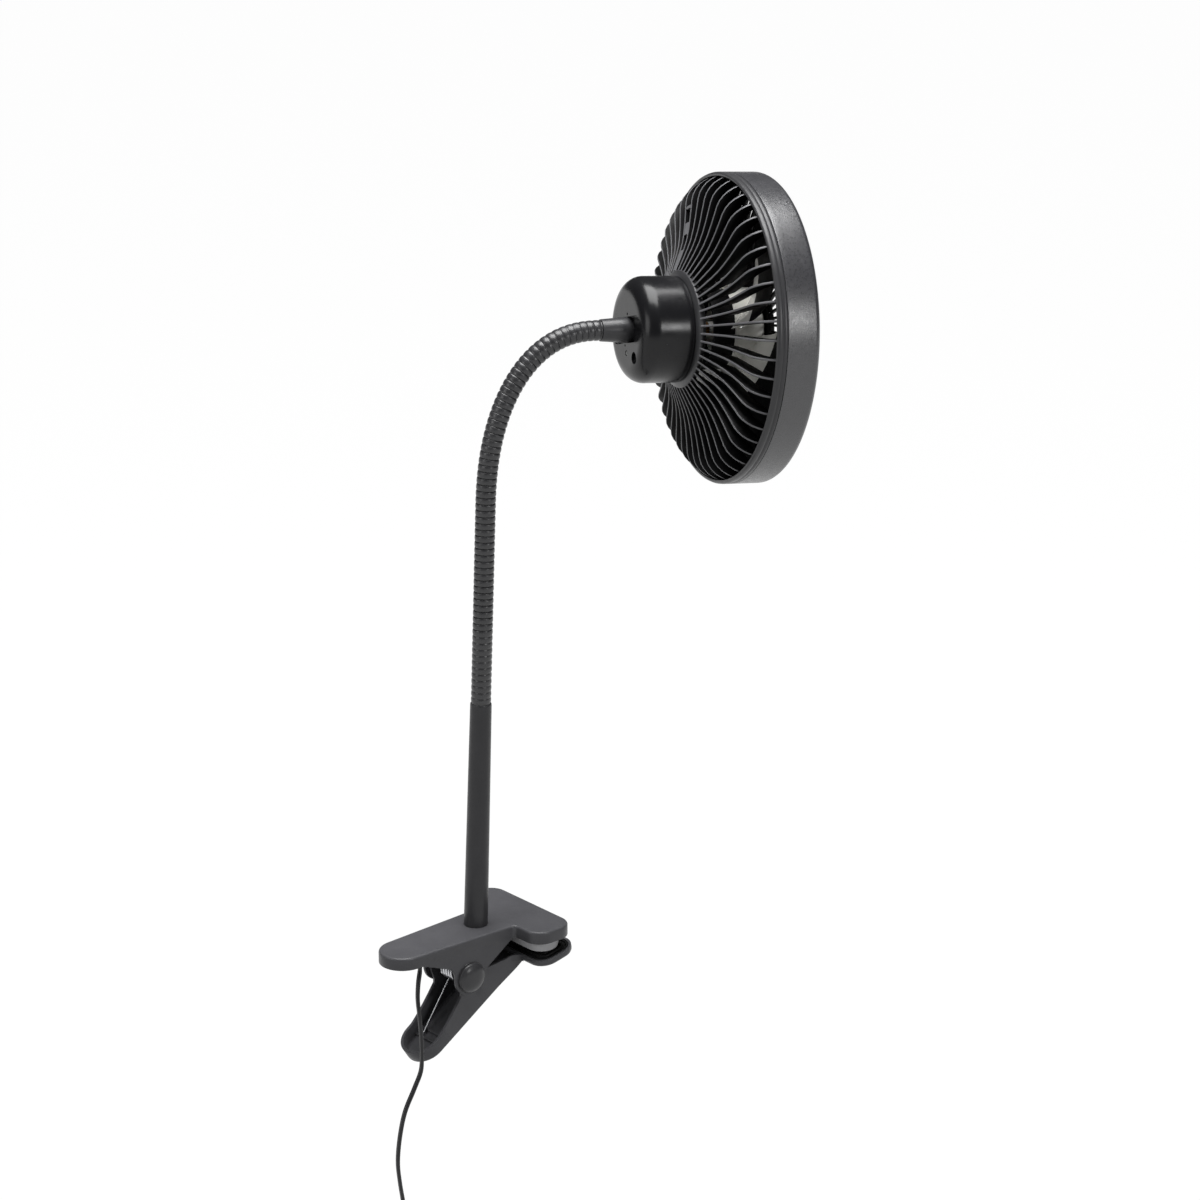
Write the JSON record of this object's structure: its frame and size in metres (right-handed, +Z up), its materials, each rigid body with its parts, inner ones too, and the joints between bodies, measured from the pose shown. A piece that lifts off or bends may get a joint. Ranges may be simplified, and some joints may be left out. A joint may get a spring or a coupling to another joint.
{
  "type": "clip fan",
  "caption": "Clip fan: a round fan on a ribbed gooseneck and stand tube, carried by a spring clamp, with a flat cord that has an in-line switch and a plug.",
  "frame": {"origin": "centre of the upper jaw pad's flat grip face", "axes": "+Z up, away from the grip face; +X from the clamp's handle to its nose; +Y to the left"},
  "size_m": [0.2792, 0.1803, 0.8115],
  "materials": {
    "charcoal_plastic": "fine matte texture",
    "satin_black_plastic": "satin",
    "black_rubber": "matte",
    "pad_grey": "matte light grey",
    "bright_steel": "bright",
    "bearing_bronze": "sintered bronze",
    "blade_plastic": "glossy pale grey",
    "board_green": "solder mask",
    "lens_milk": "milky",
    "winding_copper": "enamelled wire",
    "magnet_black": "ferrite"
  },
  "bodies": {
    "clamp": {"clamp_upper_jaw": "charcoal_plastic", "upper_jaw_pad": "pad_grey", "pivot_pin": "bright_steel", "pivot_cap_near": "satin_black_plastic", "pivot_cap_far": "satin_black_plastic", "torsion_spring": "bright_steel", "cord_grommet": "black_rubber", "tube_lead": "black_rubber", "stand_tube": "charcoal_plastic", "tube_washer": "bright_steel", "tube_nut": "bright_steel", "neck_segment_1": "black_rubber", "switch_shell_front": "satin_black_plastic", "switch_shell_back": "satin_black_plastic", "switch_board": "board_green", "cord_free": "black_rubber", "cord_hank": "black_rubber", "cord_tie": "satin_black_plastic", "usb_plug_body": "black_rubber", "usb_plug_shell": "bright_steel", "usb_plug_tongue": "satin_black_plastic"},
    "jaw": {"clamp_lower_jaw": "charcoal_plastic", "lower_jaw_pad": "black_rubber"},
    "neck_2": {"neck_segment_2": "black_rubber"},
    "neck_3": {"neck_segment_3": "black_rubber"},
    "neck_4": {"neck_segment_4": "black_rubber"},
    "neck_5": {"neck_segment_5": "black_rubber"},
    "neck_6": {"neck_segment_6": "black_rubber"},
    "head": {"neck_segment_7": "black_rubber", "neck_ferrule": "satin_black_plastic", "ferrule_nut": "bright_steel", "rear_housing": "charcoal_plastic", "bracket_screw_near": "bright_steel", "bracket_screw_far": "bright_steel", "housing_screw": "bright_steel", "indicator_lens": "lens_milk", "rear_grille": "charcoal_plastic", "drum_band": "charcoal_plastic", "front_grille": "charcoal_plastic", "front_cap": "satin_black_plastic", "circuit_board": "board_green", "head_lead": "black_rubber", "motor_can": "bright_steel", "motor_end_plate": "satin_black_plastic", "motor_magnet": "magnet_black", "rear_bearing": "bearing_bronze", "front_bearing": "bearing_bronze", "motor_screw_upper": "bright_steel", "motor_screw_lower": "bright_steel"},
    "rotor": {"motor_shaft": "bright_steel", "armature": "winding_copper", "impeller": "blade_plastic", "impeller_collar": "bearing_bronze"},
    "switch_button": {"switch_button": "black_rubber"}
  },
  "joints": [
    {"name": "jaw_pivot", "type": "hinge", "parent": "clamp", "child": "jaw", "pos_m": [-0.04255, 0, -0.0103], "axis": [0, 1, 0], "range_deg": [0, 30], "stiffness_Nm_per_rad": 0.8, "springref_deg": -28.65, "deforming": ["torsion_spring"]},
    {"name": "neck_bend_1", "type": "hinge", "parent": "clamp", "child": "neck_2", "pos_m": [-0.02008, -0.00218, 0.18749], "axis": [0.3584, 0.9336, 0], "range_deg": [-18, 18]},
    {"name": "neck_swing_1", "type": "hinge", "parent": "neck_2", "child": "neck_3", "pos_m": [-0.01899, -0.0026, 0.22086], "axis": [-0.933, 0.3581, 0.0349], "range_deg": [-18, 18]},
    {"name": "neck_bend_2", "type": "hinge", "parent": "neck_3", "child": "neck_4", "pos_m": [-0.01778, -0.00306, 0.25794], "axis": [0.3584, 0.9336, 0], "range_deg": [-18, 18]},
    {"name": "neck_swing_2", "type": "hinge", "parent": "neck_4", "child": "neck_5", "pos_m": [-0.01559, -0.0039, 0.29122], "axis": [-0.9235, 0.3545, 0.1466], "range_deg": [-18, 18]},
    {"name": "neck_bend_3", "type": "hinge", "parent": "neck_5", "child": "neck_6", "pos_m": [-0.00599, -0.00758, 0.32672], "axis": [0.3584, 0.9336, 0], "range_deg": [-18, 18]},
    {"name": "neck_bend_4", "type": "hinge", "parent": "neck_6", "child": "head", "pos_m": [0.01298, -0.01487, 0.35281], "axis": [0.3584, 0.9336, 0], "range_deg": [-18, 18]},
    {"name": "fan_spin", "type": "hinge", "parent": "head", "child": "rotor", "pos_m": [0.06086, -0.03325, 0.36092], "axis": [0.9311, -0.3574, -0.0724], "continuous": true},
    {"name": "switch_press", "type": "slide", "parent": "clamp", "child": "switch_button", "axis": [0, 1, 0], "range_m": [0, 0.001], "stiffness_N_per_m": 80}
  ]
}
